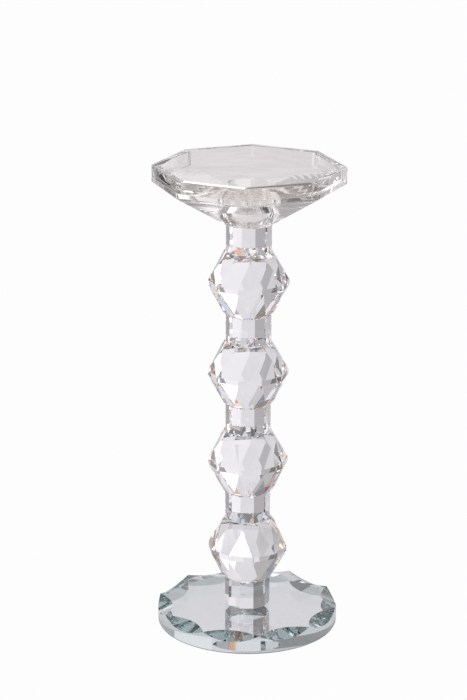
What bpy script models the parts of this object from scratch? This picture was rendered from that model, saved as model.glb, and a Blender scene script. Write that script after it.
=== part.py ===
"""Cut-glass candlestick: an octagonal candle bowl on a stem of four faceted beads,
standing on a round scalloped base that is silvered underneath.

Every glass piece is ground separately and bonded to its neighbour with a thin clear film.
Units are metres, +Z is up, and the origin is on the table, on the axis of the stem.
"""

import math

import bmesh
import bpy
from mathutils import Matrix, Vector

# Space left between two neighbouring pieces, and the clear film in each joint of the stem
FIT_GAP = 0.00015
BOND_THICKNESS = 0.0002
BOND_INSET = 0.0004

# Base: a round plate with a ring of scoops ground off its upper rim
BASE_RADIUS = 0.0576
BASE_THICKNESS = 0.0112
BASE_SEGMENTS = 180
SCOOP_COUNT = 10
SCOOP_REACH = 0.0090
SCOOP_DROP = 0.0041
SCOOP_TURN = math.radians(9.0)
WHEEL_SEGMENTS = 240
WHEEL_LENGTH = 6 * SCOOP_REACH

# Underside of the base: silvering, its protective backing and four bumpers
SILVER_THICKNESS = 0.0002
SILVER_MARGIN = 0.0004
BACKING_THICKNESS = 0.00025
BUMPER_RADIUS = 0.005
BUMPER_HEIGHT = 0.0012
BUMPER_COUNT = 4
BUMPER_SET_IN = 0.0116

# Beads: a ten-sided neck below a ball with a narrow girdle
SIDES = 10
BEAD_COUNT = 4
NECK_RADIUS = 0.0143
NECK_HEIGHT = 0.0172
NECK_TURN = math.radians(18.0)
BALL_RADIUS = 0.0254
BALL_HEIGHT = 0.0411
TABLE_MARGIN = 0.0001
GIRDLE_HEIGHT = 0.0032
UPPER_TIP_SET = 0.0032
LOWER_TIP_SET = 0.0024
# How far each ball's facets are turned from its neck's, from the bottom bead to the top one
BALL_TURNS = (math.radians(-8.5), math.radians(7.0), math.radians(5.5), math.radians(5.5))

# Collar: a plain ten-sided prism between the top bead and the bowl
COLLAR_HEIGHT = 0.0164

# Bowl: an octagonal tray on a faceted underside, with a round socket in its floor
BOWL_SIDES = 8
BOWL_RADIUS = 0.0603
FOOT_MARGIN = 0.0004
BOWL_UNDERSIDE_HEIGHT = 0.0256
BOWL_WALL_HEIGHT = 0.0106
RIM_WIDTH = 0.0053
TRAY_DEPTH = 0.0089
WALL_DRAFT = 0.0008
FLOOR_FALL = 0.0019
FLOOR_MARGIN = 0.0012
SOCKET_RADIUS = 0.0130
SOCKET_DEPTH = 0.0225
SOCKET_TAPER = 0.0008
SOCKET_CORNER = 0.0045
SOCKET_LIP = 0.0007
SOCKET_SEGMENTS = 72

# Sizes that follow from the ones above: each bonded face is just wider than the neck that
# stands on it, and the flat centre of the tray is just wider than the mouth of the socket
TABLE_RADIUS = NECK_RADIUS / math.cos(math.pi / SIDES) + TABLE_MARGIN
BOWL_FOOT_RADIUS = NECK_RADIUS / math.cos(math.pi / BOWL_SIDES) + FOOT_MARGIN
FLOOR_CENTRE_RADIUS = (SOCKET_RADIUS + SOCKET_LIP) / math.cos(math.pi / BOWL_SIDES) + FLOOR_MARGIN
BUMPER_CIRCLE = BASE_RADIUS - BUMPER_SET_IN

# Heights of the pieces, stacked upward from the table
BACKING_Z = BUMPER_HEIGHT + FIT_GAP
SILVER_Z = BACKING_Z + BACKING_THICKNESS + FIT_GAP
BASE_Z = SILVER_Z + SILVER_THICKNESS + FIT_GAP
BASE_TOP = BASE_Z + BASE_THICKNESS
JOINT = BOND_THICKNESS + 2 * FIT_GAP
BEAD_HEIGHT = NECK_HEIGHT + BALL_HEIGHT
STEM_Z = BASE_TOP + JOINT
COLLAR_Z = STEM_Z + BEAD_COUNT * (BEAD_HEIGHT + JOINT)
BOWL_Z = COLLAR_Z + COLLAR_HEIGHT + JOINT

BEAD_NAMES = ("bottom", "lower", "upper", "top")


def clear_scene():
    """Removes whatever Blender starts with."""
    for obj in list(bpy.data.objects):
        bpy.data.objects.remove(obj, do_unlink=True)


def new_collection(name):
    collection = bpy.data.collections.new(name)
    bpy.context.scene.collection.children.link(collection)
    return collection


def principled(name, colour, roughness, metallic=0.0, transmission=0.0, ior=1.45):
    material = bpy.data.materials.new(name)
    material.use_nodes = True
    shader = material.node_tree.nodes["Principled BSDF"]
    shader.inputs["Base Color"].default_value = (*colour, 1.0)
    shader.inputs["Roughness"].default_value = roughness
    shader.inputs["Metallic"].default_value = metallic
    shader.inputs["Transmission Weight"].default_value = transmission
    shader.inputs["IOR"].default_value = ior
    return material


def bowl_glass():
    return principled("pressed_bowl_glass", (0.95, 0.93, 0.92), 0.02, transmission=1.0, ior=1.52)


def crystal_glass():
    return principled("cut_crystal_glass", (0.93, 0.93, 0.95), 0.01, transmission=1.0, ior=1.54)


def plate_glass():
    return principled("plate_base_glass", (0.88, 0.93, 0.93), 0.02, transmission=1.0, ior=1.52)


def clear_adhesive():
    return principled("clear_uv_adhesive", (0.97, 0.97, 0.95), 0.05, transmission=1.0, ior=1.51)


def silver_coat():
    return principled("silver_mirror_coat", (0.86, 0.87, 0.89), 0.03, metallic=1.0)


def backing_paint():
    return principled("grey_backing_paint", (0.32, 0.33, 0.34), 0.6)


def bumper_rubber():
    return principled("clear_bumper_rubber", (0.80, 0.80, 0.78), 0.45)


def add_mesh(name, mesh_builder, collection, material):
    """An object from a bmesh, with its normals facing out."""
    bmesh.ops.recalc_face_normals(mesh_builder, faces=mesh_builder.faces)
    mesh = bpy.data.meshes.new(name)
    mesh_builder.to_mesh(mesh)
    mesh_builder.free()
    mesh.materials.append(material)
    obj = bpy.data.objects.new(name, mesh)
    collection.objects.link(obj)
    return obj


def add_ring(builder, sides, radius, height, turn):
    """A ring of points, one of them at `turn` round from -Y, as seen from above."""
    place = Matrix.Translation((0.0, 0.0, height)) @ Matrix.Rotation(turn, 4, "Z")
    made = bmesh.ops.create_circle(builder, segments=sides, radius=radius, matrix=place)
    return made["verts"]


def extrude_face(builder, face, rise, scale=1.0):
    """Pushes a face along Z, scales it about the axis and returns the moved face."""
    joined = any(len(edge.link_faces) > 1 for edge in face.edges)
    made = bmesh.ops.extrude_face_region(builder, geom=[face])["geom"]
    if joined:
        bmesh.ops.delete(builder, geom=[face], context="FACES_ONLY")
    points = [item for item in made if isinstance(item, bmesh.types.BMVert)]
    bmesh.ops.translate(builder, verts=points, vec=(0.0, 0.0, rise))
    bmesh.ops.scale(builder, verts=points, vec=(scale, scale, 1.0))
    return next(item for item in made if isinstance(item, bmesh.types.BMFace))


def face_nearest(builder, height):
    """The face whose middle is nearest to a height."""
    return min(builder.faces, key=lambda face: abs(face.calc_center_median().z - height))


def add_prism(name, sides, radius, height, z, turn, collection, material):
    """A straight prism, or a disc when it has many sides, standing at height z."""
    builder = bmesh.new()
    bmesh.ops.create_circle(
        builder, cap_ends=True, segments=sides, radius=radius, matrix=Matrix.Rotation(turn, 4, "Z")
    )
    extrude_face(builder, builder.faces[:][0], height)
    obj = add_mesh(name, builder, collection, material)
    obj.location.z = z
    return obj


def shade_round(obj):
    """Smooth shading that keeps the ground edges sharp."""
    obj.data.shade_smooth()
    obj.data.set_sharp_from_angle(angle=math.radians(15.0))


def ridge_radius(ring_radius, set_back, ball_half):
    """Radius, at `set_back` from a ball's end, of the ridge between two neighbouring main facets."""
    half_side = math.pi / SIDES
    apothem = ring_radius * math.cos(half_side)
    slope_height = ball_half - GIRDLE_HEIGHT / 2
    reach = apothem + (BALL_RADIUS - apothem) * set_back / slope_height
    return reach / math.cos(half_side)


def build_bead(name, z, ball_turn, collection, material):
    """A ball cut with ten girdle facets, ten triangles and ten main facets above and below, on its neck."""
    ball_half = BALL_HEIGHT / 2
    middle = NECK_HEIGHT + ball_half
    girdle_turn = ball_turn + math.pi / SIDES
    upper_tip = ridge_radius(TABLE_RADIUS, UPPER_TIP_SET, ball_half)
    lower_tip = ridge_radius(TABLE_RADIUS, LOWER_TIP_SET, ball_half)
    builder = bmesh.new()
    add_ring(builder, SIDES, NECK_RADIUS, NECK_HEIGHT, NECK_TURN)
    add_ring(builder, SIDES, lower_tip, NECK_HEIGHT + LOWER_TIP_SET, ball_turn)
    add_ring(builder, SIDES, BALL_RADIUS, middle - GIRDLE_HEIGHT / 2, girdle_turn)
    add_ring(builder, SIDES, BALL_RADIUS, middle + GIRDLE_HEIGHT / 2, girdle_turn)
    add_ring(builder, SIDES, upper_tip, NECK_HEIGHT + BALL_HEIGHT - UPPER_TIP_SET, ball_turn)
    add_ring(builder, SIDES, TABLE_RADIUS, NECK_HEIGHT + BALL_HEIGHT, ball_turn)
    bmesh.ops.convex_hull(builder, input=builder.verts[:])
    bmesh.ops.dissolve_limit(
        builder, angle_limit=math.radians(0.3), verts=builder.verts[:], edges=builder.edges[:]
    )
    extrude_face(builder, face_nearest(builder, NECK_HEIGHT), -NECK_HEIGHT)
    obj = add_mesh(name, builder, collection, material)
    obj.location.z = z
    return obj


def socket_profile():
    """Half section of the candle socket: a flared lip, a slight taper and a rounded bottom."""
    bottom_radius = SOCKET_RADIUS - SOCKET_TAPER
    overshoot = 2 * SOCKET_LIP
    points = [
        (0.0, overshoot),
        (SOCKET_RADIUS + SOCKET_LIP + overshoot, overshoot),
        (SOCKET_RADIUS, -SOCKET_LIP),
    ]
    arc_steps = 8
    for step in range(arc_steps + 1):
        angle = math.pi / 2 * step / arc_steps
        across = bottom_radius - SOCKET_CORNER + SOCKET_CORNER * math.cos(angle)
        down = -SOCKET_DEPTH + SOCKET_CORNER - SOCKET_CORNER * math.sin(angle)
        points.append((across, down))
    points.append((0.0, -SOCKET_DEPTH))
    return points


def build_socket_cutter(floor_z, collection, material):
    profile = bpy.data.meshes.new("socket_cutter")
    points = [(across, 0.0, height) for across, height in socket_profile()]
    edges = [(index, index + 1) for index in range(len(points) - 1)]
    profile.from_pydata(points, edges, [])
    profile.materials.append(material)
    cutter = bpy.data.objects.new("socket_cutter", profile)
    collection.objects.link(cutter)
    cutter.location.z = floor_z
    turn = cutter.modifiers.new("turn", "SCREW")
    turn.steps = SOCKET_SEGMENTS
    turn.render_steps = SOCKET_SEGMENTS
    turn.use_merge_vertices = True
    turn.merge_threshold = 0.00001
    hide_cutter(cutter)
    return cutter


def hide_cutter(cutter):
    cutter.hide_render = True
    cutter.display_type = "WIRE"


def cut_away(obj, cutter):
    cut = obj.modifiers.new(cutter.name, "BOOLEAN")
    cut.operation = "DIFFERENCE"
    cut.solver = "EXACT"
    cut.object = cutter


def build_bowl(collection, cutters, material):
    """Octagonal tray pulled up face by face from its foot, then bored for the candle."""
    inner_radius = BOWL_RADIUS - RIM_WIDTH
    floor_radius = inner_radius - WALL_DRAFT
    builder = bmesh.new()
    bmesh.ops.create_circle(builder, cap_ends=True, segments=BOWL_SIDES, radius=BOWL_FOOT_RADIUS)
    face = extrude_face(builder, builder.faces[:][0], BOWL_UNDERSIDE_HEIGHT, BOWL_RADIUS / BOWL_FOOT_RADIUS)
    face = extrude_face(builder, face, BOWL_WALL_HEIGHT)
    face = extrude_face(builder, face, 0.0, inner_radius / BOWL_RADIUS)
    face = extrude_face(builder, face, -TRAY_DEPTH, floor_radius / inner_radius)
    extrude_face(builder, face, -FLOOR_FALL, FLOOR_CENTRE_RADIUS / floor_radius)
    bowl = add_mesh("octagonal_bowl", builder, collection, material)
    bowl.location.z = BOWL_Z
    floor_z = BOWL_Z + BOWL_UNDERSIDE_HEIGHT + BOWL_WALL_HEIGHT - TRAY_DEPTH - FLOOR_FALL
    cut_away(bowl, build_socket_cutter(floor_z, cutters, material))
    return bowl


def scoop_wheel_radius(slope):
    """Radius of the grinding wheel whose cut meets the rim at the cusps on both sides of a scoop."""
    half_step = math.pi / SCOOP_COUNT
    half_chord = BASE_RADIUS * math.sin(half_step)
    chord_reach = SCOOP_REACH - BASE_RADIUS * (1 - math.cos(half_step))
    rise = chord_reach * math.sin(slope)
    return (half_chord**2 + rise**2) / (2 * rise)


def build_scoop_cutter(index, collection, material):
    """A wheel whose lowest line slopes outward and down through the rim of the plate."""
    slope = math.atan2(SCOOP_DROP, SCOOP_REACH)
    wheel_radius = scoop_wheel_radius(slope)
    bpy.ops.mesh.primitive_cylinder_add(
        vertices=WHEEL_SEGMENTS, radius=wheel_radius, depth=WHEEL_LENGTH
    )
    cutter = bpy.context.object
    cutter.name = f"scoop_cutter_{index + 1:02d}"
    cutter.data.materials.append(material)
    for owner in list(cutter.users_collection):
        owner.objects.unlink(cutter)
    collection.objects.link(cutter)
    turn = SCOOP_TURN + math.pi / SCOOP_COUNT + index * 2 * math.pi / SCOOP_COUNT
    contact = Vector((BASE_RADIUS - SCOOP_REACH / 2, 0.0, BASE_TOP - SCOOP_DROP / 2))
    lift = Vector((math.sin(slope), 0.0, math.cos(slope))) * wheel_radius
    lay_down = Matrix.Rotation(math.pi / 2 + slope, 4, "Y")
    round_axis = Matrix.Rotation(turn - math.pi / 2, 4, "Z")
    cutter.matrix_world = round_axis @ Matrix.Translation(contact + lift) @ lay_down
    hide_cutter(cutter)
    return cutter


def build_base(collection, cutters, material):
    base = add_prism(
        "base_plate", BASE_SEGMENTS, BASE_RADIUS, BASE_THICKNESS, BASE_Z, 0.0, collection, material
    )
    for index in range(SCOOP_COUNT):
        cut_away(base, build_scoop_cutter(index, cutters, material))
    return base


def build_underside(collection):
    add_prism(
        "mirror_silvering", BASE_SEGMENTS, BASE_RADIUS - SILVER_MARGIN, SILVER_THICKNESS,
        SILVER_Z, 0.0, collection, silver_coat(),
    )
    add_prism(
        "protective_backing", BASE_SEGMENTS, BASE_RADIUS - SILVER_MARGIN, BACKING_THICKNESS,
        BACKING_Z, 0.0, collection, backing_paint(),
    )
    rubber = bumper_rubber()
    for index in range(BUMPER_COUNT):
        angle = (index + 0.5) * 2 * math.pi / BUMPER_COUNT
        bumper = add_prism(
            f"bumper_{index + 1}", 32, BUMPER_RADIUS, BUMPER_HEIGHT, 0.0, 0.0, collection, rubber
        )
        bumper.location.x = BUMPER_CIRCLE * math.cos(angle)
        bumper.location.y = BUMPER_CIRCLE * math.sin(angle)
        shade_round(bumper)


def build_bond(name, below_z, collection, material):
    """The thin film that holds two pieces of the stem together, just above height below_z."""
    add_prism(
        name, SIDES, NECK_RADIUS - BOND_INSET, BOND_THICKNESS, below_z + FIT_GAP,
        NECK_TURN, collection, material,
    )


def build_stem(collection):
    crystal = crystal_glass()
    adhesive = clear_adhesive()
    build_bond("bond_base", BASE_TOP, collection, adhesive)
    for index, place in enumerate(BEAD_NAMES):
        z = STEM_Z + index * (BEAD_HEIGHT + JOINT)
        build_bead(f"crystal_bead_{place}", z, BALL_TURNS[index], collection, crystal)
        above = BEAD_NAMES[index + 1] if index + 1 < BEAD_COUNT else "collar"
        build_bond(f"bond_{place}_to_{above}", z + BEAD_HEIGHT, collection, adhesive)
    add_prism(
        "collar_prism", SIDES, NECK_RADIUS, COLLAR_HEIGHT, COLLAR_Z, NECK_TURN, collection, crystal
    )
    build_bond("bond_collar_to_bowl", COLLAR_Z + COLLAR_HEIGHT, collection, adhesive)


def main():
    clear_scene()
    parts = new_collection("cut_glass_candlestick")
    cutters = new_collection("cutters")
    cutters.hide_render = True
    build_underside(parts)
    shade_round(build_base(parts, cutters, plate_glass()))
    build_stem(parts)
    build_bowl(parts, cutters, bowl_glass())


main()
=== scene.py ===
# %% [markdown]
# # A cut-glass candlestick
# The real object is a stack of glass pieces that are made apart and then bonded: a pressed
# octagonal bowl, a short ten-sided collar, four faceted crystal beads that each carry their own
# ten-sided neck, and a round plate with a scalloped rim and a silvered underside.
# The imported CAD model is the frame: it fixes the size and the place of every piece. This script
# dresses it. Each glass piece is built again with the small arrises and the clear joints that
# decide how light runs through it, and everything else gets a better finish.

# %% Load the frame
import math

import bmesh
import bpy
from mathutils import Matrix, Vector


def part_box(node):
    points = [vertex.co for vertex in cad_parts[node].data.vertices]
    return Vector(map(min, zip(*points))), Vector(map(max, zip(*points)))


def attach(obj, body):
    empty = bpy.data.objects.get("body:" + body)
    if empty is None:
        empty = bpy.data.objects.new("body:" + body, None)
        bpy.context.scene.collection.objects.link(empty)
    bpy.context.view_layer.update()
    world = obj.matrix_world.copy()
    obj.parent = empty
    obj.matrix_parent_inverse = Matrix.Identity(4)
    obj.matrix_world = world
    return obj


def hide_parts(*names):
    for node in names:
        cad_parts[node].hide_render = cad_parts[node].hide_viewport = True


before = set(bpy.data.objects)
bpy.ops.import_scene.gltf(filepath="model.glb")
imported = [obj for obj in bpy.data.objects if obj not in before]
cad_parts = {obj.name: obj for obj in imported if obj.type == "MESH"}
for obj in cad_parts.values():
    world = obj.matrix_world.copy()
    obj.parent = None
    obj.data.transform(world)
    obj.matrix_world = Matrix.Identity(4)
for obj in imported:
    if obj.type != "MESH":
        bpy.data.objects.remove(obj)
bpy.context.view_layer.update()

MM = 0.001

# %% [markdown]
# ## The camera
# A long lens from a little above: about 130 mm on a 36 mm frame, 1.6 m away, looking down at
# 17.6 degrees. Blender's camera looks along its own -Z, so the aim is written as a heading and a
# dip, and the three axes of the camera follow from them. Writing the axes as a matrix avoids a
# Track To constraint, which would also hide the slight roll.

# %% Camera
CAMERA_PLACE = Vector((0.0501, -1.5093, 0.6618))
CAMERA_HEADING = math.radians(-2.256)
CAMERA_DIP = math.radians(17.576)
CAMERA_ROLL = math.radians(0.167)
CAMERA_LENS = 129.77


def add_camera():
    """A camera at the viewing angle."""
    heading, dip, roll = CAMERA_HEADING, CAMERA_DIP, CAMERA_ROLL
    aim = Vector((
        math.sin(heading) * math.cos(dip),
        math.cos(heading) * math.cos(dip),
        -math.sin(dip),
    ))
    right = Vector((math.cos(heading), -math.sin(heading), 0.0))
    up = right.cross(aim)
    side = right * math.cos(roll) + up * math.sin(roll)
    top = up * math.cos(roll) - right * math.sin(roll)
    lens = bpy.data.cameras.new("camera")
    lens.lens = CAMERA_LENS
    lens.sensor_width = 36.0
    camera = bpy.data.objects.new("camera", lens)
    camera.matrix_world = Matrix((side, top, -aim)).transposed().to_4x4()
    camera.location = CAMERA_PLACE
    bpy.context.collection.objects.link(camera)
    bpy.context.scene.camera = camera
    return camera


camera = add_camera()
print("camera looks along", [round(value, 3) for value in camera.matrix_world.col[2][:3]])

# %% [markdown]
# ## Helpers for materials
# A hex colour is what a paint chart or a colour picker gives, but shaders work in linear light,
# so one function turns one into the other. A second one adds a node with its settings and links,
# which keeps each material short enough to read as a recipe. It finds an input by its name, with
# _ for a space, or by its number, as in i0, where a node has several inputs of one name. A Mix
# node has a set of sockets for each kind of data: for colours, i0 is the share, i6 and i7 are the
# two colours, and the result is output 2.

# %% Material helpers
COLOUR_MIX = {"data_type": "RGBA"}


def linear(hex_code):
    """An sRGB hex colour as linear red, green, blue and alpha."""
    levels = [int(hex_code[start:start + 2], 16) / 255 for start in (0, 2, 4)]
    return [c / 12.92 if c <= 0.04045 else ((c + 0.055) / 1.055) ** 2.4 for c in levels] + [1.0]


def add_node(tree, kind, settings=(), **inputs):
    """A node with its settings, and its inputs set to a value or linked to another node's output."""
    node = tree.nodes.new(kind)
    for name, value in dict(settings).items():
        setattr(node, name, value)
    for name, value in inputs.items():
        socket = node.inputs[int(name[1:])] if name[1:].isdigit() else node.inputs[name.replace("_", " ")]
        if isinstance(value, bpy.types.NodeSocket):
            tree.links.new(value, socket)
        else:
            socket.default_value = value
    return node


def new_material(name):
    """An empty material and the output that its shaders plug into."""
    material = bpy.data.materials.new(name)
    material.use_nodes = True
    material.node_tree.nodes.clear()
    return material.node_tree, add_node(material.node_tree, "ShaderNodeOutputMaterial"), material


# %% [markdown]
# ## Cut optical crystal
# The beads and the collar are optical crystal, cut and polished: colourless, with an IOR of
# about 1.52 and no roughness at all. One Principled shader with full transmission says that, and
# it is the shader that travels best to other programs.
# Where light leaves a facet close to the critical angle, glass spreads it into colours. That
# happens in a narrow band of angles, and Layer Weight knows the angle, so a colour ramp that is
# clear except in that band paints the small orange and blue flashes into the glass's colour:
# painted glints of spread light. Only light inside the glass does this, so the painted ramp
# counts on the back of a face alone.

# %% Crystal
CRYSTAL_IOR = 1.52
# The painted flash colours by Layer Weight's Facing value, where None is the clear glass
PAINTED_FIRE = (
    (0.205, None), (0.214, "9FC4FF"), (0.222, "FFE08A"),
    (0.232, "FF8A50"), (0.2405, "FF6B45"), (0.2466, None),
)


def painted_fire_tint(tree, clear):
    """The glass's own clear tint, with a painted thin spectrum of spread light near the critical angle
    inside a facet.
    """
    facing = add_node(tree, "ShaderNodeLayerWeight", Blend=0.5).outputs["Facing"]
    ramp = add_node(tree, "ShaderNodeValToRGB", Fac=facing)
    bands = ramp.color_ramp.elements
    bands[0].position, bands[0].color = 0.0, clear
    bands[1].position, bands[1].color = 1.0, clear
    # Painted flashes: bands of colour that stand in for light that the glass spreads into colours
    for place, code in PAINTED_FIRE:
        bands.new(place).color = linear(code) if code else clear
    inside = add_node(tree, "ShaderNodeNewGeometry").outputs["Backfacing"]
    tint = add_node(tree, "ShaderNodeMix", COLOUR_MIX, i0=inside, i6=clear, i7=ramp.outputs["Color"])
    return tint.outputs[2]


def cut_crystal():
    tree, output, material = new_material("cut optical crystal")
    # The painted flashes go into the glass's base colour
    glass = add_node(
        tree, "ShaderNodeBsdfPrincipled", Base_Color=painted_fire_tint(tree, linear("FEFEFF")),
        Roughness=0.0, IOR=CRYSTAL_IOR, Transmission_Weight=1.0,
    )
    tree.links.new(glass.outputs[0], output.inputs["Surface"])
    return material


crystal = cut_crystal()
print("made", crystal.name)

# %% [markdown]
# ## Clear joints
# The pieces are bonded with a clear adhesive whose IOR matches the glass, so light crosses the
# joint as if it were not there. Two glass solids with air between them would act as a mirror for
# slanting light instead. The faces that are bonded therefore get a Transparent shader, and each
# film of adhesive is clear on its two faces and glassy on its rim.

# %% Bonded faces and adhesive
def wetted_joint():
    tree, output, material = new_material("glass wetted by adhesive")
    tree.links.new(add_node(tree, "ShaderNodeBsdfTransparent").outputs[0], output.inputs["Surface"])
    return material


def cured_adhesive():
    tree, output, material = new_material("cured clear adhesive")
    resin = add_node(
        tree, "ShaderNodeBsdfPrincipled", Base_Color=linear("FBFBF8"),
        Roughness=0.02, IOR=1.51, Transmission_Weight=1.0,
    )
    tree.links.new(resin.outputs[0], output.inputs["Surface"])
    return material


joint_clear = wetted_joint()
adhesive = cured_adhesive()
print("made", joint_clear.name, "and", adhesive.name)

# %% [markdown]
# ## Building facets
# A faceted bead is easiest as the convex hull of a few rings of points: every facet of a cut
# stone is a plane, and the hull finds the planes by itself. Each ring is one create_circle, at
# its own height and turn. Flat facets that the hull splits into triangles are dissolved back
# into one face. The neck is the table below pulled down.

# %% Ring, extrude and finish helpers
LEVEL_NORMAL = 0.999
LEVEL_SLACK = 0.01 * MM
WELD = 1e-6


def add_ring(builder, sides, radius, height, turn):
    """A ring of points, one of them `turn` round from -Y as seen from above."""
    place = Matrix.Translation((0.0, 0.0, height)) @ Matrix.Rotation(turn, 4, "Z")
    return bmesh.ops.create_circle(builder, segments=sides, radius=radius, matrix=place)["verts"]


def pull_face(builder, face, rise, scale=1.0):
    """Extrudes a face along Z, scales it about the axis and returns the moved face."""
    joined = any(len(edge.link_faces) > 1 for edge in face.edges)
    made = bmesh.ops.extrude_face_region(builder, geom=[face])["geom"]
    if joined:
        bmesh.ops.delete(builder, geom=[face], context="FACES_ONLY")
    points = [item for item in made if isinstance(item, bmesh.types.BMVert)]
    bmesh.ops.translate(builder, verts=points, vec=(0.0, 0.0, rise))
    bmesh.ops.scale(builder, verts=points, vec=(scale, scale, 1.0))
    return next(item for item in made if isinstance(item, bmesh.types.BMFace))


def level_faces(builder, height):
    """The flat faces that lie at a height."""
    builder.normal_update()
    return [
        face for face in builder.faces
        if abs(face.normal.z) > LEVEL_NORMAL
        and all(abs(point.co.z - height) < LEVEL_SLACK for point in face.verts)
    ]


def mark_footprint(builder, height, sides, radius, turn):
    """Scribes the outline of the piece bonded at a height, and marks what is inside as bonded."""
    apothem = radius * math.cos(math.pi / sides)
    outward = []
    for index in range(sides):
        angle = turn + (index + 0.5) * 2 * math.pi / sides
        outward.append(Vector((math.sin(angle), -math.cos(angle), 0.0)))
    for way in outward:
        faces = level_faces(builder, height)
        edges = list({edge for face in faces for edge in face.edges})
        points = list({point for face in faces for point in face.verts})
        bmesh.ops.bisect_plane(
            builder, geom=points + edges + faces, dist=WELD,
            plane_co=way * apothem, plane_no=way,
        )
    for face in level_faces(builder, height):
        middle = face.calc_center_median()
        if all(middle.dot(way) < apothem for way in outward):
            face.material_index = 1


def soften_arrises(builder, width, above_z):
    """Bevels the ridges between facets above a height, away from the bonded faces."""
    builder.normal_update()
    edges = [
        edge for edge in builder.edges
        if edge.calc_face_angle(0.0) > math.radians(2.0)
        and min(point.co.z for point in edge.verts) > above_z
        and all(face.material_index == 0 for face in edge.link_faces)
    ]
    bmesh.ops.bevel(
        builder, geom=edges, offset=width, offset_type="OFFSET", affect="EDGES",
        segments=1, profile=0.5, material=-1, clamp_overlap=True,
    )


def make_piece(name, builder, materials, slot_name, *stands_for):
    """Turns a bmesh into a piece of the object that rides on the frame."""
    bmesh.ops.recalc_face_normals(builder, faces=builder.faces)
    mesh = bpy.data.meshes.new(name)
    builder.to_mesh(mesh)
    builder.free()
    for material in materials:
        mesh.materials.append(material)
    piece = bpy.data.objects.new(name, mesh)
    bpy.context.collection.objects.link(piece)
    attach(piece, "root")
    if stands_for:
        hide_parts(*stands_for)
    heights = [point.co.z / MM for point in mesh.vertices]
    print(f"{name}: {len(mesh.polygons)} faces, z {min(heights):.1f} to {max(heights):.1f} mm")
    return piece


# %% [markdown]
# ## The four beads
# Each bead is one piece of crystal: a ten-sided neck below, and above it a ball with ten girdle
# facets, and ten triangles and ten main facets on each side of the girdle. The ball was cut
# after the neck, so its facets are turned a few degrees from the neck's, by a different amount
# on each bead. The sharp edges between the ball's facets are polished to a line about 0.05 mm
# wide, which is enough to catch the light.

# %% Beads
SIDES = 10
NECK_RADIUS = 14.3 * MM
NECK_HEIGHT = 17.2 * MM
NECK_TURN = math.radians(18.0)
BALL_RADIUS = 25.4 * MM
TABLE_RADIUS = NECK_RADIUS / math.cos(math.pi / SIDES) + 0.1 * MM
GIRDLE_HEIGHT = 3.2 * MM
UPPER_TIP_SET = 3.2 * MM
LOWER_TIP_SET = 2.4 * MM
ARRIS = 0.05 * MM
BALL_TURNS = {"bottom": -8.5, "lower": 7.0, "upper": 5.5, "top": 5.5}


def tip_radius(set_back, ball_half):
    """How far out the tip of a triangle facet is: on the ridge between two main facets."""
    apothem = TABLE_RADIUS * math.cos(math.pi / SIDES)
    share = set_back / (ball_half - GIRDLE_HEIGHT / 2)
    return (apothem + (BALL_RADIUS - apothem) * share) / math.cos(math.pi / SIDES)


def build_bead(place):
    low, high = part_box(f"crystal_bead_{place}")
    foot, waist, table = low.z, low.z + NECK_HEIGHT, high.z
    half = (table - waist) / 2
    middle = waist + half
    turn = math.radians(BALL_TURNS[place])
    girdle_turn = turn + math.pi / SIDES
    builder = bmesh.new()
    add_ring(builder, SIDES, NECK_RADIUS, waist, NECK_TURN)
    add_ring(builder, SIDES, tip_radius(LOWER_TIP_SET, half), waist + LOWER_TIP_SET, turn)
    add_ring(builder, SIDES, BALL_RADIUS, middle - GIRDLE_HEIGHT / 2, girdle_turn)
    add_ring(builder, SIDES, BALL_RADIUS, middle + GIRDLE_HEIGHT / 2, girdle_turn)
    add_ring(builder, SIDES, tip_radius(UPPER_TIP_SET, half), table - UPPER_TIP_SET, turn)
    add_ring(builder, SIDES, TABLE_RADIUS, table, turn)
    bmesh.ops.convex_hull(builder, input=builder.verts[:])
    bmesh.ops.dissolve_limit(
        builder, angle_limit=math.radians(0.3), verts=builder.verts[:], edges=builder.edges[:]
    )
    pull_face(builder, level_faces(builder, waist)[0], foot - waist)
    level_faces(builder, foot)[0].material_index = 1
    mark_footprint(builder, table, SIDES, NECK_RADIUS, NECK_TURN)
    soften_arrises(builder, ARRIS, waist + 0.5 * MM)
    make_piece(
        f"cut_bead_{place}", builder, (crystal, joint_clear), "crystal", f"crystal_bead_{place}"
    )


for place in BALL_TURNS:
    build_bead(place)

# %% [markdown]
# ## The collar
# Between the top bead and the bowl sits a plain ten-sided prism, cut to the same section as the
# necks. It is a circle of ten points pulled up by its height.

# %% Collar
def build_prism(name, node, sides, radius, low_z, high_z, turn, materials, slot_name):
    """A straight prism whose two ends are bonded faces."""
    builder = bmesh.new()
    place = Matrix.Translation((0.0, 0.0, low_z)) @ Matrix.Rotation(turn, 4, "Z")
    bmesh.ops.create_circle(builder, cap_ends=True, segments=sides, radius=radius, matrix=place)
    pull_face(builder, builder.faces[:][0], high_z - low_z)
    for height in (low_z, high_z):
        for face in level_faces(builder, height):
            face.material_index = 1
    make_piece(name, builder, materials, slot_name, node)


low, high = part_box("collar_prism")
build_prism(
    "cut_collar", "collar_prism", SIDES, NECK_RADIUS, low.z, high.z, NECK_TURN,
    (crystal, joint_clear), "crystal",
)

# %% [markdown]
# ## Films of adhesive
# Each joint holds a film of clear adhesive that fills it from glass to glass. On a real stem it
# is thin but visible as a fine line all round. It is the same prism as the collar, only as high
# as the joint.

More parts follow.
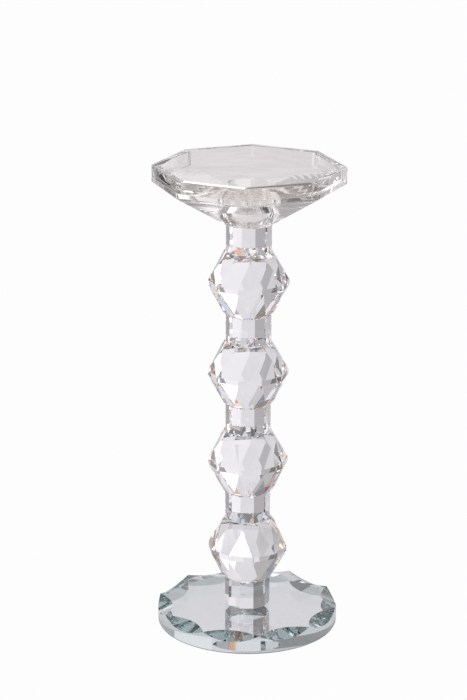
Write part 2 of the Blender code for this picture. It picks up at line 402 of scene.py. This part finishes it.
# %% Adhesive films
FILM_RADIUS = 14.22 * MM
FILM_CLEARANCE = 0.004 * MM
stack = [
    "base_plate", *[f"crystal_bead_{place}" for place in BALL_TURNS], "collar_prism", "octagonal_bowl",
]
films = [
    "bond_base", "bond_bottom_to_lower", "bond_lower_to_upper", "bond_upper_to_top",
    "bond_top_to_collar", "bond_collar_to_bowl",
]
for film, below, above in zip(films, stack, stack[1:]):
    build_prism(
        film.replace("bond", "adhesive"), film, SIDES, FILM_RADIUS,
        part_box(below)[1].z + FILM_CLEARANCE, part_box(above)[0].z - FILM_CLEARANCE,
        NECK_TURN, (adhesive, joint_clear), "clear_adhesive",
    )

# %% [markdown]
# ## Pressed bowl glass
# The bowl is pressed soda-lime glass. Its IOR is near 1.5 and it is a little warmer than the
# crystal. Molten glass that cools as it flows keeps faint drawn-out cords, which are a shade
# darker than the rest, and the plunger leaves shallow rings in the floor of the tray. Noise that
# is squeezed along Z and stretched along X draws the cords as a tint. The rings are far too
# shallow to model but wide enough to bend light, so they are a bump.

# %% Bowl glass
BOWL_IOR = 1.5
CORD_WIDTH = 14 * MM
CORD_STRETCH = (0.4, 1.6, 6.0)
CORD_FROM, CORD_TO = 0.40, 0.62
WAVE_PERIOD = math.pi / 10  # how far apart Blender's rings are at a Scale of 1
RING_WIDTH = 4.2 * MM
RING_DEPTH = 0.05 * MM


def ring_relief(tree, place, depth):
    """The normal of a skin with round waves about the stem."""
    rings = add_node(
        tree, "ShaderNodeTexWave", {"wave_type": "RINGS", "rings_direction": "Z"},
        Vector=place, Scale=WAVE_PERIOD / RING_WIDTH, Distortion=1.5, Detail=1.0, Detail_Scale=0.6,
    )
    relief = add_node(
        tree, "ShaderNodeBump", Strength=1.0, Distance=depth, Height=rings.outputs["Fac"]
    )
    return relief.outputs["Normal"]


def pressed_glass(name, cord_tint, ring_depth=0.0):
    tree, output, material = new_material(name)
    place = add_node(tree, "ShaderNodeTexCoord").outputs["Object"]
    drawn = add_node(
        tree, "ShaderNodeVectorMath", {"operation": "MULTIPLY"}, i0=place, i1=CORD_STRETCH
    )
    cords = add_node(
        tree, "ShaderNodeTexNoise", Vector=drawn.outputs[0],
        Scale=1 / CORD_WIDTH, Detail=1.0, Roughness=0.4,
    )
    share = add_node(tree, "ShaderNodeMapRange", i0=cords.outputs["Fac"], i1=CORD_FROM, i2=CORD_TO)
    tint = add_node(
        tree, "ShaderNodeMix", COLOUR_MIX, i0=share.outputs[0], i6=linear("FDFBF9"), i7=cord_tint
    )
    glass = add_node(
        tree, "ShaderNodeBsdfPrincipled", Base_Color=tint.outputs[2],
        Roughness=0.0, IOR=BOWL_IOR, Transmission_Weight=1.0,
    )
    if ring_depth:
        tree.links.new(ring_relief(tree, place, ring_depth), glass.inputs["Normal"])
    tree.links.new(glass.outputs[0], output.inputs["Surface"])
    return material


bowl_glass = pressed_glass("pressed soda-lime glass", linear("F6F3F0"))
tray_glass = pressed_glass("pressed soda-lime glass, plunger side", linear("F0ECEA"), RING_DEPTH)
print("made", bowl_glass.name, "and", tray_glass.name)

# %% [markdown]
# ## The bowl
# The bowl starts as an octagon the size of its foot. One face is pulled up and widened into the
# sloping underside, up again into the short wall, inward into the rim, down into the tray and
# on to the centre. The edges above the foot are rounded as a mould rounds them. The socket is
# turned from a half section with spin and cut out with an exact Boolean, because a round hole
# in an eight-sided floor has no simple loop to extrude.

# %% Bowl
BOWL_SIDES = 8
BOWL_RADIUS = 60.3 * MM
BOWL_FOOT_RADIUS = NECK_RADIUS / math.cos(math.pi / BOWL_SIDES) + 0.4 * MM
UNDERSIDE_HEIGHT = 25.6 * MM
WALL_HEIGHT = 10.6 * MM
RIM_WIDTH = 5.3 * MM
TRAY_DEPTH = 8.9 * MM
WALL_DRAFT = 0.8 * MM
FLOOR_FALL = 1.9 * MM
SOCKET_RADIUS = 13.0 * MM
SOCKET_DEPTH = 22.5 * MM
SOCKET_TAPER = 0.8 * MM
SOCKET_CORNER = 4.5 * MM
SOCKET_LIP = 0.7 * MM
FLOOR_CENTRE_RADIUS = (SOCKET_RADIUS + SOCKET_LIP) / math.cos(math.pi / BOWL_SIDES) + 1.2 * MM
MOULD_EDGE = 0.7 * MM
ROUND_STEPS = 128
CORNER_STEPS = 12
FACES_UP = 0.9


def cut_from(piece, cutters):
    """Cuts solids out of a piece and keeps the result as its plain mesh."""
    for cutter in cutters:
        boolean = piece.modifiers.new("cut", "BOOLEAN")
        boolean.operation = "DIFFERENCE"
        boolean.solver = "EXACT"
        boolean.object = cutter
    graph = bpy.context.evaluated_depsgraph_get()
    cut = bpy.data.meshes.new_from_object(piece.evaluated_get(graph))
    builder = bmesh.new()
    builder.from_mesh(cut)
    for obj in [piece, *cutters]:
        bpy.data.objects.remove(obj)
    return builder


def raw_solid(name, builder):
    """A bmesh as an object that only takes part in a cut."""
    bmesh.ops.recalc_face_normals(builder, faces=builder.faces)
    mesh = bpy.data.meshes.new(name)
    builder.to_mesh(mesh)
    builder.free()
    solid = bpy.data.objects.new(name, mesh)
    bpy.context.collection.objects.link(solid)
    return solid


def socket_solid(floor_z):
    """The shape of the candle socket, turned from its half section."""
    bottom = SOCKET_RADIUS - SOCKET_TAPER
    section = [
        (0.0, 2 * SOCKET_LIP), (SOCKET_RADIUS + 3 * SOCKET_LIP, 2 * SOCKET_LIP),
        (SOCKET_RADIUS + SOCKET_LIP, 0.0), (SOCKET_RADIUS + 0.2 * SOCKET_LIP, -0.3 * SOCKET_LIP),
        (SOCKET_RADIUS, -SOCKET_LIP),
    ]
    for step in range(CORNER_STEPS + 1):
        angle = math.pi / 2 * step / CORNER_STEPS
        section.append((bottom - SOCKET_CORNER + SOCKET_CORNER * math.cos(angle),
                        -SOCKET_DEPTH + SOCKET_CORNER - SOCKET_CORNER * math.sin(angle)))
    section.append((0.0, -SOCKET_DEPTH))
    builder = bmesh.new()
    points = [builder.verts.new((across, 0.0, floor_z + height)) for across, height in section]
    edges = [builder.edges.new(pair) for pair in zip(points, points[1:])]
    bmesh.ops.spin(
        builder, geom=points + edges, cent=(0.0, 0.0, 0.0), axis=(0.0, 0.0, 1.0),
        angle=2 * math.pi, steps=ROUND_STEPS, use_merge=True,
    )
    bmesh.ops.remove_doubles(builder, verts=builder.verts[:], dist=WELD)
    return raw_solid("socket", builder)


def build_bowl():
    low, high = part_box("octagonal_bowl")
    inner = BOWL_RADIUS - RIM_WIDTH
    floor = inner - WALL_DRAFT
    builder = bmesh.new()
    bmesh.ops.create_circle(
        builder, cap_ends=True, segments=BOWL_SIDES, radius=BOWL_FOOT_RADIUS,
        matrix=Matrix.Translation((0.0, 0.0, low.z)),
    )
    face = pull_face(builder, builder.faces[:][0], UNDERSIDE_HEIGHT, BOWL_RADIUS / BOWL_FOOT_RADIUS)
    face = pull_face(builder, face, WALL_HEIGHT)
    face = pull_face(builder, face, 0.0, inner / BOWL_RADIUS)
    face = pull_face(builder, face, -TRAY_DEPTH, floor / inner)
    pull_face(builder, face, -FLOOR_FALL, FLOOR_CENTRE_RADIUS / floor)
    builder.normal_update()
    edges = [
        edge for edge in builder.edges
        if edge.calc_face_angle(0.0) > math.radians(15.0)
        and min(point.co.z for point in edge.verts) > low.z + 1.0 * MM
    ]
    bmesh.ops.bevel(
        builder, geom=edges, offset=MOULD_EDGE, offset_type="OFFSET", affect="EDGES",
        segments=4, profile=0.5, material=-1, clamp_overlap=True,
    )
    floor_z = high.z - TRAY_DEPTH - FLOOR_FALL
    builder = cut_from(raw_solid("bowl", builder), [socket_solid(floor_z)])
    bmesh.ops.dissolve_limit(
        builder, angle_limit=math.radians(0.05), verts=builder.verts[:], edges=builder.edges[:]
    )
    for face in builder.faces:
        middle = face.calc_center_median()
        in_tray = floor_z - SOCKET_LIP < middle.z < high.z - MOULD_EDGE and face.normal.z > FACES_UP
        face.material_index = 2 if in_tray else 0
    mark_footprint(builder, low.z, SIDES, NECK_RADIUS, NECK_TURN)
    bowl = make_piece(
        "pressed_bowl", builder, (bowl_glass, joint_clear, tray_glass), "bowl_glass", "octagonal_bowl"
    )
    bowl.data.shade_smooth()
    bowl.data.set_sharp_from_angle(angle=math.radians(20.0))


build_bowl()

# %% [markdown]
# ## Plate glass
# The base is cut from thick plate glass, which has a little iron in it. Straight through it looks
# colourless, but along the plate it turns a grey-green, so the tint is an absorption inside the
# glass. A scoop looks far along the plate, over and over between its skins, more times than a
# render follows. So the ground scoops also carry that grey-green as a colour of their own.

# %% Base glass
PLATE_IOR = 1.52


def iron_plate_glass(name, tint):
    tree, output, material = new_material(name)
    glass = add_node(
        tree, "ShaderNodeBsdfPrincipled", Base_Color=tint,
        Roughness=0.0, IOR=PLATE_IOR, Transmission_Weight=1.0,
    )
    iron = add_node(tree, "ShaderNodeVolumeAbsorption", Color=linear("C4DEE0"), Density=3.5)
    tree.links.new(glass.outputs[0], output.inputs["Surface"])
    tree.links.new(iron.outputs[0], output.inputs["Volume"])
    return material


plate_glass = iron_plate_glass("polished plate glass", linear("FCFDFD"))
scoop_glass = iron_plate_glass("wheel-ground plate glass", linear("B8C6C5"))
print("made", plate_glass.name, "and", scoop_glass.name)

# %% [markdown]
# ## The base plate
# A thick disc whose upper rim has ten scoops ground off it by a wheel. Each scoop is cut here
# as it is in the shop: the wheel is a wide cylinder whose lowest line slopes outward and down,
# and its radius is the one that brings neighbouring scoops together in a cusp at the rim.

# %% Base
SCOOP_COUNT = 10
SCOOP_REACH = 9.0 * MM
SCOOP_DROP = 4.1 * MM
SCOOP_TURN = math.radians(9.0)
WHEEL_LENGTH = 60 * MM
RIM_STEPS = 360
WHEEL_STEPS = 480
LEAST_SLOPE = 0.02


def wheel_solid(index, radius, top_z):
    """A grinding wheel, laid over the rim where scoop number `index` is cut."""
    slope = math.atan2(SCOOP_DROP, SCOOP_REACH)
    half_step = math.pi / SCOOP_COUNT
    half_chord = radius * math.sin(half_step)
    rise = (SCOOP_REACH - radius * (1 - math.cos(half_step))) * math.sin(slope)
    wheel = (half_chord**2 + rise**2) / (2 * rise)
    heading = SCOOP_TURN + (2 * index + 1) * half_step - math.pi / 2
    contact = Vector((radius - SCOOP_REACH / 2, 0.0, top_z - SCOOP_DROP / 2))
    lift = Vector((math.sin(slope), 0.0, math.cos(slope))) * wheel
    lay_down = Matrix.Rotation(math.pi / 2 + slope, 4, "Y")
    builder = bmesh.new()
    bmesh.ops.create_cone(
        builder, cap_ends=True, segments=WHEEL_STEPS, radius1=wheel, radius2=wheel, depth=WHEEL_LENGTH,
        matrix=Matrix.Rotation(heading, 4, "Z") @ Matrix.Translation(contact + lift) @ lay_down,
    )
    return raw_solid("wheel", builder)


def build_base():
    low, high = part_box("base_plate")
    radius = (high.x - low.x) / 2
    builder = bmesh.new()
    bmesh.ops.create_circle(
        builder, cap_ends=True, segments=RIM_STEPS, radius=radius,
        matrix=Matrix.Translation((0.0, 0.0, low.z)),
    )
    pull_face(builder, builder.faces[:][0], high.z - low.z)
    wheels = [wheel_solid(index, radius, high.z) for index in range(SCOOP_COUNT)]
    builder = cut_from(raw_solid("plate", builder), wheels)
    bmesh.ops.dissolve_limit(
        builder, angle_limit=math.radians(0.05), verts=builder.verts[:], edges=builder.edges[:]
    )
    for face in builder.faces:
        scooped = LEAST_SLOPE < abs(face.normal.z) < 1 - LEAST_SLOPE
        face.material_index = 2 if scooped else 0
    mark_footprint(builder, high.z, SIDES, NECK_RADIUS, NECK_TURN)
    base = make_piece(
        "scalloped_base", builder, (plate_glass, joint_clear, scoop_glass), "base_glass", "base_plate"
    )
    base.data.shade_smooth()
    base.data.set_sharp_from_angle(angle=math.radians(6.0))


build_base()

# %% [markdown]
# ## Underside
# The plate's underside is silvered like a mirror and the silver is sealed with grey paint. Both
# are thin flat coats whose CAD shape is already right, so those nodes stay and only get their
# finish. Four clear self-adhesive bumpers keep the paint off the table. A real one is a low
# dome, so each is turned from a half section.

# %% Underside finishes
SPRAY_GRAIN = 0.8 * MM
SPRAY_DEPTH = 0.04 * MM


def silver_coat():
    tree, output, material = new_material("chemical silvering")
    silver = add_node(
        tree, "ShaderNodeBsdfPrincipled", Base_Color=linear("F6F5F7"), Metallic=1.0, Roughness=0.015
    )
    tree.links.new(silver.outputs[0], output.inputs["Surface"])
    return material


def backing_paint():
    tree, output, material = new_material("sprayed backing paint")
    place = add_node(tree, "ShaderNodeTexCoord").outputs["Object"]
    spray = add_node(tree, "ShaderNodeTexNoise", Vector=place, Scale=1 / SPRAY_GRAIN, Detail=3.0)
    grain = add_node(
        tree, "ShaderNodeBump", Strength=0.5, Distance=SPRAY_DEPTH, Height=spray.outputs["Fac"]
    )
    shade = add_node(
        tree, "ShaderNodeMix", COLOUR_MIX,
        i0=spray.outputs["Fac"], i6=linear("8D9093"), i7=linear("9B9EA1"),
    )
    paint = add_node(
        tree, "ShaderNodeBsdfPrincipled", Base_Color=shade.outputs[2], Roughness=0.6,
        Normal=grain.outputs["Normal"],
    )
    tree.links.new(paint.outputs[0], output.inputs["Surface"])
    return material


def bumper_gel():
    tree, output, material = new_material("clear polyurethane")
    gel = add_node(
        tree, "ShaderNodeBsdfPrincipled", Base_Color=linear("F4F4F0"), Roughness=0.12,
        IOR=1.49, Transmission_Weight=0.9,
    )
    tree.links.new(gel.outputs[0], output.inputs["Surface"])
    return material


def refinish(node, material):
    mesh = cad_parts[node].data
    mesh.materials.clear()
    mesh.materials.append(material)


refinish("mirror_silvering", silver_coat())
refinish("protective_backing", backing_paint())
gel = bumper_gel()
print("finished the silvering and its backing")

# %% Bumpers
DOME_STEPS = 10
BUMPER_STEPS = 48
DOME_CROWN = 0.45
DOME_SKIRT = 0.25


def build_bumper(index):
    """A low dome that stands on its crown, turned about its own axis."""
    low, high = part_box(f"bumper_{index}")
    centre = (low + high) / 2
    radius, height = (high.x - low.x) / 2, high.z - low.z
    builder = bmesh.new()
    section = [(0.0, high.z), (radius, high.z)]
    for step in range(DOME_STEPS + 1):
        angle = math.pi / 2 * step / DOME_STEPS
        across = radius * (DOME_CROWN + (1 - DOME_CROWN) * math.cos(angle))
        down = height * (DOME_SKIRT + (1 - DOME_SKIRT) * math.sin(angle))
        section.append((across, high.z - down))
    section.append((0.0, low.z))
    points = [builder.verts.new((centre.x + across, centre.y, z)) for across, z in section]
    edges = [builder.edges.new(pair) for pair in zip(points, points[1:])]
    bmesh.ops.spin(
        builder, geom=points + edges, cent=(centre.x, centre.y, 0.0), axis=(0.0, 0.0, 1.0),
        angle=2 * math.pi, steps=BUMPER_STEPS, use_merge=True,
    )
    bmesh.ops.remove_doubles(builder, verts=builder.verts[:], dist=WELD)
    bumper = make_piece(f"dome_bumper_{index}", builder, (gel,), "bumper_rubber", f"bumper_{index}")
    bumper.data.shade_smooth()
    bumper.data.set_sharp_from_angle(angle=math.radians(35.0))


for index in (1, 2, 3, 4):
    build_bumper(index)

# %% [markdown]
# ## Floor and light
# Clear glass has no look of its own: it shows the room. So a glass photographer sets white and
# black cards round the object, and each facet picks up one of them. The room here is a pale
# sweep with a ring of cards lying on it, a low and a high ring standing on it, and a ring
# overhead. Each ring is written as headings in degrees, clockwise from +Y, and the tone of the
# card that starts there. The cards have sharp edges, which the cut glass breaks into crisp
# lines. The camera itself sees a plain near-white sweep.

# %% Cards
FLOOR_RADIUS = 6.0
CARDS_START, CARDS_FULL = 0.07, 0.16
LOW_CARDS_TOP = (0.26, 0.34)
HIGH_CARDS_TOP = (0.72, 0.82)
BLACK, DARK, SHADE, DIM = 0.02, 0.17, 0.28, 0.45
GREY, PALE, LIGHT, WHITE = 0.65, 0.76, 0.88, 1.5
FLOOR_CARDS = (
    (-180, DARK), (-150, GREY), (-125, WHITE), (-80, SHADE), (-65, DIM), (-50, DARK),
    (-38, GREY), (-27, DIM), (-14, PALE), (5, LIGHT), (38, WHITE), (50, SHADE),
    (65, PALE), (80, BLACK), (125, LIGHT), (150, GREY),
)
LOW_CARDS = (
    (-180, WHITE), (-150, DARK), (-100, DIM), (-80, WHITE), (-65, BLACK), (-50, DARK),
    (-27, DIM), (-14, PALE), (14, WHITE), (27, SHADE), (38, GREY), (50, LIGHT),
    (65, BLACK), (80, WHITE), (100, BLACK), (125, DIM), (150, GREY),
)
HIGH_CARDS = (
    (-180, GREY), (-110, SHADE), (-15, PALE), (15, LIGHT),
    (45, DIM), (75, DARK), (110, DIM), (150, DARK),
)
TOP_CARDS = ((-180, DARK), (-60, PALE), (0, LIGHT), (60, SHADE))


def card_colour(tone):
    """Bright cards are faintly lilac, and dark ones faintly brown."""
    return (tone + 0.012, tone * 0.985 + 0.006, tone * 1.025, 1.0)


def round_the_room(tree, place, cards):
    """The colour of the card at the heading of a place."""
    axes = add_node(tree, "ShaderNodeSeparateXYZ", Vector=place)
    heading = add_node(tree, "ShaderNodeMath", {"operation": "ARCTAN2"},
                       i0=axes.outputs["X"], i1=axes.outputs["Y"])
    share = add_node(tree, "ShaderNodeMapRange", i0=heading.outputs[0], i1=-math.pi, i2=math.pi)
    ramp = add_node(tree, "ShaderNodeValToRGB", Fac=share.outputs[0])
    ramp.color_ramp.interpolation = "CONSTANT"
    stops = ramp.color_ramp.elements
    stops.remove(stops[1])
    stops[0].color = card_colour(cards[0][1])
    for start, tone in cards[1:]:
        stops.new(start / 360 + 0.5).color = card_colour(tone)
    return ramp.outputs["Color"]


def seen_or_lit(tree, seen, lit):
    """What the camera sees, and what the glass sees."""
    seen_straight = add_node(tree, "ShaderNodeLightPath").outputs["Is Camera Ray"]
    either = add_node(
        tree, "ShaderNodeMixShader", i0=seen_straight, i1=lit.outputs[0], i2=seen.outputs[0]
    )
    return either.outputs[0]


# %% Floor
def stage_floor():
    tree, output, material = new_material("pale sweep")
    seen = add_node(tree, "ShaderNodeEmission", Color=linear("FDFDFE"), Strength=1.0)
    place = add_node(tree, "ShaderNodeTexCoord").outputs["Object"]
    cards = round_the_room(tree, place, FLOOR_CARDS)
    reach = add_node(tree, "ShaderNodeVectorMath", {"operation": "LENGTH"}, i0=place)
    share = add_node(
        tree, "ShaderNodeMapRange", i0=reach.outputs["Value"], i1=CARDS_START, i2=CARDS_FULL
    )
    shade = add_node(
        tree, "ShaderNodeMix", COLOUR_MIX, i0=share.outputs[0], i6=card_colour(GREY), i7=cards
    )
    lit = add_node(tree, "ShaderNodeEmission", Color=shade.outputs[2], Strength=1.0)
    tree.links.new(seen_or_lit(tree, seen, lit), output.inputs["Surface"])
    builder = bmesh.new()
    bmesh.ops.create_circle(builder, cap_ends=True, segments=96, radius=FLOOR_RADIUS)
    mesh = bpy.data.meshes.new("floor")
    builder.to_mesh(mesh)
    builder.free()
    mesh.materials.append(material)
    floor = bpy.data.objects.new("floor", mesh)
    bpy.context.collection.objects.link(floor)


stage_floor()
print("the floor is", 2 * FLOOR_RADIUS, "m across")

# %% Standing and overhead cards
def room_light():
    world = bpy.data.worlds.new("studio")
    world.use_nodes = True
    bpy.context.scene.world = world
    tree = world.node_tree
    tree.nodes.clear()
    way = add_node(tree, "ShaderNodeTexCoord").outputs["Generated"]
    rise = add_node(tree, "ShaderNodeSeparateXYZ", Vector=way).outputs["Z"]
    cards = round_the_room(tree, way, LOW_CARDS)
    for ring, (start, full) in ((HIGH_CARDS, LOW_CARDS_TOP), (TOP_CARDS, HIGH_CARDS_TOP)):
        share = add_node(tree, "ShaderNodeMapRange", i0=rise, i1=start, i2=full)
        both = add_node(
            tree, "ShaderNodeMix", COLOUR_MIX,
            i0=share.outputs[0], i6=cards, i7=round_the_room(tree, way, ring),
        )
        cards = both.outputs[2]
    seen = add_node(tree, "ShaderNodeBackground", Color=linear("FDFDFE"), Strength=1.0)
    lit = add_node(tree, "ShaderNodeBackground", Color=cards, Strength=1.0)
    output = add_node(tree, "ShaderNodeOutputWorld")
    tree.links.new(seen_or_lit(tree, seen, lit), output.inputs["Surface"])


room_light()
print("cards:", len(FLOOR_CARDS), "lying,", len(LOW_CARDS), "low,", len(HIGH_CARDS), "high and",
      len(TOP_CARDS), "overhead")

# %% [markdown]
# ## The key light
# One soft box stands to the left of the camera and a little above it. A flat facet mirrors it
# only when it faces half way between the light and the eye, so a turn of a few degrees decides
# which bead flashes white. The box lights reflections alone: seen through many facets, so small
# and bright a light would only add stray sparkles.

# %% Key light
KEY_AIM = Vector((0.0, 0.0, 0.05))
KEY_WAY = Vector((-0.30, -0.85, 0.43))
KEY_REACH = 1.5
KEY_SIZE = 0.34
KEY_POWER = 2.6


def key_light():
    light = bpy.data.lights.new("key light", "AREA")
    light.shape = "SQUARE"
    light.size = KEY_SIZE
    light.energy = KEY_POWER
    box = bpy.data.objects.new("key light", light)
    way = KEY_WAY.normalized()
    box.location = KEY_AIM + way * KEY_REACH
    box.rotation_mode = "QUATERNION"
    box.rotation_quaternion = way.to_track_quat("Z", "Y")
    box.visible_transmission = False
    bpy.context.collection.objects.link(box)
    return box


soft_box = key_light()
print("the key light is", round(soft_box.location.length, 2), "m away")

# %% [markdown]
# ## Render settings
# Light crosses many faces inside the stem, so it is allowed more bounces than usual. Every part
# of the picture gets the same samples, because the facets hide their noise from a test of it,
# and the plain Standard view keeps whites white.

# %% Bounces and view
scene = bpy.context.scene
scene.cycles.max_bounces = 48
scene.cycles.transmission_bounces = 48
scene.cycles.glossy_bounces = 32
scene.cycles.transparent_max_bounces = 64
scene.cycles.use_adaptive_sampling = False
scene.view_settings.view_transform = "Standard"
print("light may bounce", scene.cycles.max_bounces, "times")
